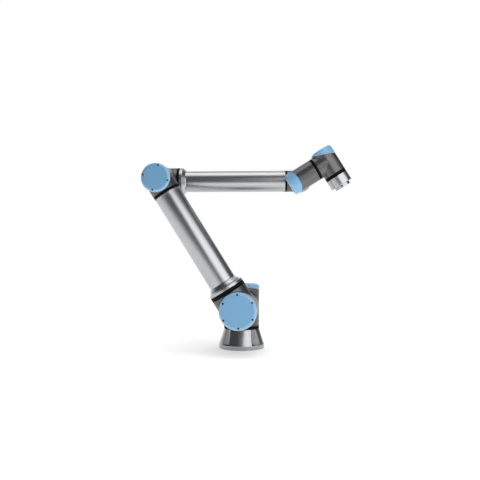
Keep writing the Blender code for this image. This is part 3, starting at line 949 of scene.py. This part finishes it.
def upper_arm_tube(place):
    """The upper arm: a flared foot with a fine edge, a straight tube, a thin collar at the top."""
    node = "upper_arm_tube"
    low, high, bore, foot = spans(node, place)
    collar = radius_at(node, place, high)
    tube = collar - UPPER_COLLAR
    corners = [
        (bore, low, 0),
        (foot, low, 0.0009),
        (foot - 0.0005, low + 0.0102, 0.0010),
        (foot - 0.0040, low + 0.0116, 0.0015),
        *flare(foot - 0.0070, tube, low + 0.0125, low + 0.0330),
        (tube, high - 0.0060, 0),
        (collar, high - 0.0050, 0.0004),
        (collar, high, 0.0006),
        (bore, high, 0),
    ]
    stand_in(node, detailed(node, [turned(corners, steps=3)], place))


def forearm_tube(place):
    """The forearm: a plain foot, a straight chamfer down to the tube, a thin collar at the wrist."""
    node = "forearm_tube"
    low, high, bore, foot = spans(node, place)
    collar = radius_at(node, place, high)
    tube = collar - FOREARM_COLLAR
    corners = [
        (bore, low, 0),
        (foot, low, 0.0009),
        (foot, low + 0.0125, 0.0012),
        (tube + 0.0010, low + 0.0252, 0.0030),
        (tube, low + 0.0290, 0.0040),
        (tube, high - 0.0105, 0),
        (collar, high - 0.0098, 0.0003),
        (collar, high, 0.0005),
        (bore, high, 0),
    ]
    stand_in(node, detailed(node, [turned(corners, steps=3)], place))


# ---------------------------------------------------------------- base and tool end


def disc(radius, low, high, facets=SMALL_FACETS):
    return turned([(0, low, 0), (radius, low, 0), (radius, high, 0), (0, high, 0)], facets)


def base_flange():
    """The turned base: a round plate, a cone, four pockets with bolt holes, a hole for the inlet."""
    node = "base_flange"
    low, top, _, plate = spans(node, IDENTITY)
    neck = radius_at(node, IDENTITY, top)
    corners = [
        (0, HOLLOW_FLOOR, 0),
        (HOLLOW_WIDE, HOLLOW_FLOOR, 0),
        (HOLLOW_NARROW, top - THROAT_DEPTH, 0),
        (THROAT_RADIUS, top - THROAT_DEPTH, 0),
        (THROAT_RADIUS, top, 0),
        (neck, top, 0.0008),
        (plate - 0.0010, PLATE_HEIGHT + 0.0006, 0.0006),
        (plate - 0.0002, PLATE_HEIGHT - 0.0012, 0.0010),
        (plate, low, 0.0010),
        (0, low, 0),
    ]
    flange = detailed(node, [turned(corners)], IDENTITY)
    pockets, holes = [], []
    drafted = turned([
        (0, POCKET_FLOOR, 0),
        (POCKET_RADIUS - POCKET_INSET, POCKET_FLOOR, 0),
        (POCKET_RADIUS + POCKET_DRAFT * (2 * top - POCKET_FLOOR), 2 * top, 0),
        (0, 2 * top, 0),
    ], 96)
    for i in range(4):
        turn = Matrix.Rotation(math.radians(45 + 90 * i), 4, "Z")
        pocket = turn @ Matrix.Translation((POCKET_CENTRE, 0, 0))
        hole = turn @ Matrix.Translation((BASE_BOLT_CIRCLE / 2, 0, 0))
        pockets.append(moved(drafted, pocket))
        holes.append(moved(disc(BASE_BOLT_RADIUS, -CUT_PAST, POCKET_FLOOR + 0.002), hole))
    stepped = turned([
        (0, INLET_HOLE_START, 0),
        (INLET_HOLE_RADIUS, INLET_HOLE_START, 0),
        (INLET_HOLE_RADIUS, INLET_SEAT, 0),
        (INLET_SEAT_RADIUS, INLET_SEAT, 0),
        (INLET_SEAT_RADIUS, INLET_HOLE_END, 0),
        (0, INLET_HOLE_END, 0),
    ], SMALL_FACETS)
    carve(flange, pockets)
    carve(flange, [*holes, moved(stepped, INLET_PLACE)])
    soften(flange, 0.0005)
    stand_in(node, flange)


def cable_inlet():
    """The supply cable's gland: a hexagon nut, a domed clamping nose and an open rubber throat."""
    node = "base_cable_inlet"
    low, high, bore, nut = spans(node, INLET_PLACE)
    seat = high - INLET_NUT_DEPTH

    def outline_at(angle):
        flats = min(nut, hexagon(angle, 1.80 * nut))
        return rounded([
            (bore, high, 0.0008),
            (nut - 0.0042, high, 0.0020),
            (nut - 0.0030, high - 0.0036, 0.0006),
            (flats, high - 0.0042, 0.0006),
            (flats, seat, 0.0003),
            (INLET_STEM_RADIUS, seat, 0),
            (INLET_STEM_RADIUS, low, 0),
            (bore, low, 0),
        ], steps=3)

    stand_in(node, detailed(node, [spun(outline_at, 96)], INLET_PLACE))


def tool_flange(place, socket_place):
    """The tool flange: a plain body, a raised face with pilot bore and four threaded holes."""
    node = "tool_flange"
    low, face, _, body = spans(node, place)
    corners = [
        (0, low, 0),
        (body, low, 0.0008),
        (body, TOOL_SHOULDER, 0.0014),
        (TOOL_FACE_RADIUS, TOOL_SHOULDER, 0.0004),
        (TOOL_FACE_RADIUS, face, 0.0007),
        (PILOT_RADIUS, face, 0.0005),
        (PILOT_RADIUS, face - PILOT_DEPTH, 0),
        (0, face - PILOT_DEPTH, 0),
    ]
    flange = detailed(node, [turned(corners)], place)
    hole = turned([
        (0, 0.0010, 0),
        (TOOL_BOLT_RADIUS + COUNTERSINK, 0.0010, 0),
        (TOOL_BOLT_RADIUS, 0.0010 - COUNTERSINK, 0),
        (TOOL_BOLT_RADIUS, -TOOL_BOLT_DEPTH, 0),
        (0, -TOOL_BOLT_DEPTH - 0.0012, 0),
    ], 32)
    tools = []
    for i in range(4):
        turn = Matrix.Rotation(math.radians(45 + 90 * i), 4, "Z")
        tools.append(moved(hole, turn @ Matrix.Translation((TOOL_BOLT_CIRCLE / 2, 0, face))))
    pin = Matrix.Translation((TOOL_BOLT_CIRCLE / 2, 0, face))
    tools.append(moved(disc(DOWEL_RADIUS, -DOWEL_DEPTH, 0.0020, 32), pin))
    socket_hole = disc(CONNECTOR_HOLE_RADIUS, body - CONNECTOR_HOLE_DEPTH, body + 0.02)
    tools.append(moved(socket_hole, socket_place))
    carve(flange, tools)
    stand_in(node, flange)


def tool_connector(socket_place):
    """The round socket at the flange's side: a knurled collar, a bore and eight pins in it."""
    node = "tool_connector"
    low, face, _, collar = spans(node, socket_place)

    def outline_at(angle):
        knurl = collar - KNURL_DEPTH / 2 * (1 - math.cos(KNURL_RIDGES * angle))
        return rounded([
            (0, face - CONNECTOR_BORE_DEPTH, 0),
            (CONNECTOR_BORE - 0.0001, face - CONNECTOR_BORE_DEPTH, 0),
            (CONNECTOR_BORE, face, 0.0003),
            (collar - 0.0005, face, 0.0003),
            (knurl, face - 0.0008, 0),
            (knurl, face - 0.0038, 0),
            (collar - 0.0004, face - 0.0042, 0),
            (collar - 0.0004, low, 0),
            (0, low, 0),
        ], steps=2)

    stand_in(node, detailed(node, [spun(outline_at, 192)], socket_place))
    pin = turned([
        (0, -0.0061, 0),
        (PIN_RADIUS, -0.0061, 0),
        (PIN_RADIUS, -0.0018, 0.0002),
        (0, -0.0016, 0),
    ], 12, steps=3)
    grids = []
    for i in range(RING_PINS):
        turn = Matrix.Rotation(2 * math.pi * i / RING_PINS, 4, "Z")
        grids.append(moved(pin, turn @ Matrix.Translation((PIN_CIRCLE_RADIUS, 0, face))))
    grids.append(moved(pin, Matrix.Translation((0, 0, face))))
    name = "tool_connector_pins"
    pins = new_object(name, mesh_of(name, grids), socket_place)
    show(pins, PIN_LOOK, BODY_OF[node])


# ---------------------------------------------------------------- the arm


FRAMES = {name: joint_frame(name) for name in NECK_TOWARDS}
FRAMES["elbow_counterpart"] = counterpart_frame()
INLET_PLACE = Matrix.Translation((0, 0, INLET_HEIGHT)) @ Matrix.Rotation(-math.pi / 2, 4, "X")
SOCKET_TURN = Matrix.Translation((0, 0, CONNECTOR_HEIGHT)) @ Matrix.Rotation(-math.pi / 2, 4, "X")


def link_end(casting, lid_node, place):
    """A casting with its lid and the lid's screws."""
    lid = Lid(lid_node, place)
    tee_casting(casting, place, lambda x: lid.edge_at(x) + SEAM)
    lid_cap(lid)
    lid_screws(lid)


for name in NECK_TOWARDS:
    link_end(f"{name}_housing", f"{name}_lid", FRAMES[name])
    grooved_ring(f"{name}_seal", FRAMES[name])
link_end("elbow_counterpart", "elbow_counterpart_lid", FRAMES["elbow_counterpart"])

NECKS = {name: place @ ALONG_NECK for name, place in FRAMES.items()}
grooved_ring("shoulder_tube_ring", NECKS["shoulder_joint"])
grooved_ring("elbow_tube_ring", NECKS["elbow_joint"])
grooved_ring("forearm_elbow_ring", NECKS["elbow_counterpart"])
grooved_ring("forearm_wrist_ring", NECKS["wrist_1_joint"])
upper_arm_tube(NECKS["shoulder_joint"])
forearm_tube(NECKS["elbow_counterpart"])
base_flange()
cable_inlet()
tool_flange(FRAMES["wrist_3_joint"], FRAMES["wrist_3_joint"] @ SOCKET_TURN)
tool_connector(FRAMES["wrist_3_joint"] @ SOCKET_TURN)


def finish_internals(name):
    """Gives the drive inside one joint, which keeps its CAD shapes, its materials."""
    made = {slot: look(FRAMES[name]) for slot, look in INTERNAL_LOOKS.items()}
    for part in ("output_flange", "gear_ring", "stator", "rotor", "control_board"):
        node = f"{name}_{part}"
        mesh = frame["nodes"][node].data
        mesh.materials.clear()
        mesh.materials.append(made[SLOT_OF[node]])


for name in NECK_TOWARDS:
    finish_internals(name)


# ---------------------------------------------------------------- stage


def aimed(location, target):
    """A matrix at location whose -Z looks at target, with +Y upwards."""
    way = Vector(target) - Vector(location)
    return Matrix.Translation(location) @ way.to_track_quat("-Z", "Y").to_matrix().to_4x4()


def softbox(name, location, width, height, radiance):
    light = bpy.data.lights.new(name, "AREA")
    light.shape = "RECTANGLE"
    light.size = width
    light.size_y = height
    light.energy = radiance * width * height * math.pi
    obj = bpy.data.objects.new(name, light)
    bpy.context.scene.collection.objects.link(obj)
    obj.matrix_world = aimed(location, LIGHT_TARGET)
    obj.visible_camera = False


def floor():
    """A round, pale, matt floor, painted darker round the middle as a shadow, with its own even light
    from above, which falls on nothing else.
    """
    mesh = bpy.data.meshes.new("floor")
    shape = bmesh.new()
    bmesh.ops.create_circle(shape, cap_ends=True, segments=96, radius=FLOOR_RADIUS)
    shape.to_mesh(mesh)
    shape.free()
    obj = new_object("floor", mesh, IDENTITY)
    white = (FLOOR_GREY, FLOOR_GREY, FLOOR_GREY)
    graph = Graph("floor", white, roughness=0.9, metallic=0.0, own_frame=IDENTITY)
    away = graph.add("VectorMath", {"operation": "LENGTH"}, Vector=graph.place).outputs["Value"]
    pale = graph.mixed(graph.noise(0.30), graph.shade(0.99), graph.shade(1.01))
    # Painted shadow: the floor's colour is darker near the middle, round the arm's base, and full
    # further out.
    out_of_painted_shadow = graph.ranged(away, FLOOR_PAINTED_SHADOW_FROM, FLOOR_PAINTED_SHADOW_TO)
    graph.colour_from(graph.mixed(out_of_painted_shadow, graph.shade(FLOOR_PAINTED_SHADOW), pale))
    mesh.materials.append(graph.material)
    light = bpy.data.lights.new("floor_light", "SUN")
    light.energy = FLOOR_LIGHT
    light.angle = FLOOR_LIGHT_ANGLE
    sun = bpy.data.objects.new("floor_light", light)
    bpy.context.scene.collection.objects.link(sun)
    sun.matrix_world = aimed(FLOOR_LIGHT_AT, (0, 0, 0))
    receivers = bpy.data.collections.new("floor_light_receivers")
    receivers.objects.link(obj)
    sun.light_linking.receiver_collection = receivers
    sun.light_linking.blocker_collection = receivers


def world():
    """White behind the object, and a dim studio with a bright wall behind for everything else."""
    made = bpy.data.worlds.new("studio")
    bpy.context.scene.world = made
    made.use_nodes = True
    tree = made.node_tree
    background = tree.nodes["Background"]
    seen = tree.nodes.new("ShaderNodeLightPath")
    coordinates = tree.nodes.new("ShaderNodeTexCoord")
    split = tree.nodes.new("ShaderNodeSeparateXYZ")
    tree.links.new(coordinates.outputs["Generated"], split.inputs[0])
    share = None
    for axis, start, end, highest in WORLD_RAMPS:
        ramp = tree.nodes.new("ShaderNodeMapRange")
        ramp.interpolation_type = "SMOOTHSTEP"
        ramp.inputs["From Min"].default_value = start
        ramp.inputs["From Max"].default_value = end
        ramp.inputs["To Max"].default_value = highest
        tree.links.new(split.outputs[axis], ramp.inputs["Value"])
        if share:
            product = tree.nodes.new("ShaderNodeMath")
            product.operation = "MULTIPLY"
            tree.links.new(share, product.inputs[0])
            tree.links.new(ramp.outputs[0], product.inputs[1])
            share = product.outputs[0]
        else:
            share = ramp.outputs[0]
    level = tree.nodes.new("ShaderNodeMath")
    level.inputs[1].default_value = WORLD_DIM
    tree.links.new(share, level.inputs[0])
    pick = tree.nodes.new("ShaderNodeMix")
    pick.data_type = "RGBA"
    tree.links.new(seen.outputs["Is Camera Ray"], pick.inputs[0])
    tree.links.new(level.outputs[0], pick.inputs[MIX_FIRST])
    pick.inputs[MIX_SECOND].default_value = (1.0, 1.0, 1.0, 1)
    tree.links.new(pick.outputs[MIX_RESULT], background.inputs["Color"])


def camera():
    data = bpy.data.cameras.new("camera")
    data.lens = LENS_MM
    data.sensor_width = SENSOR_MM
    obj = bpy.data.objects.new("camera", data)
    bpy.context.scene.collection.objects.link(obj)
    obj.location = CAMERA_AT
    obj.rotation_euler = CAMERA_TURN
    bpy.context.scene.camera = obj


bpy.context.scene.view_settings.view_transform = "Standard"
world()
floor()
for placed in SOFTBOXES:
    softbox(*placed)
camera()
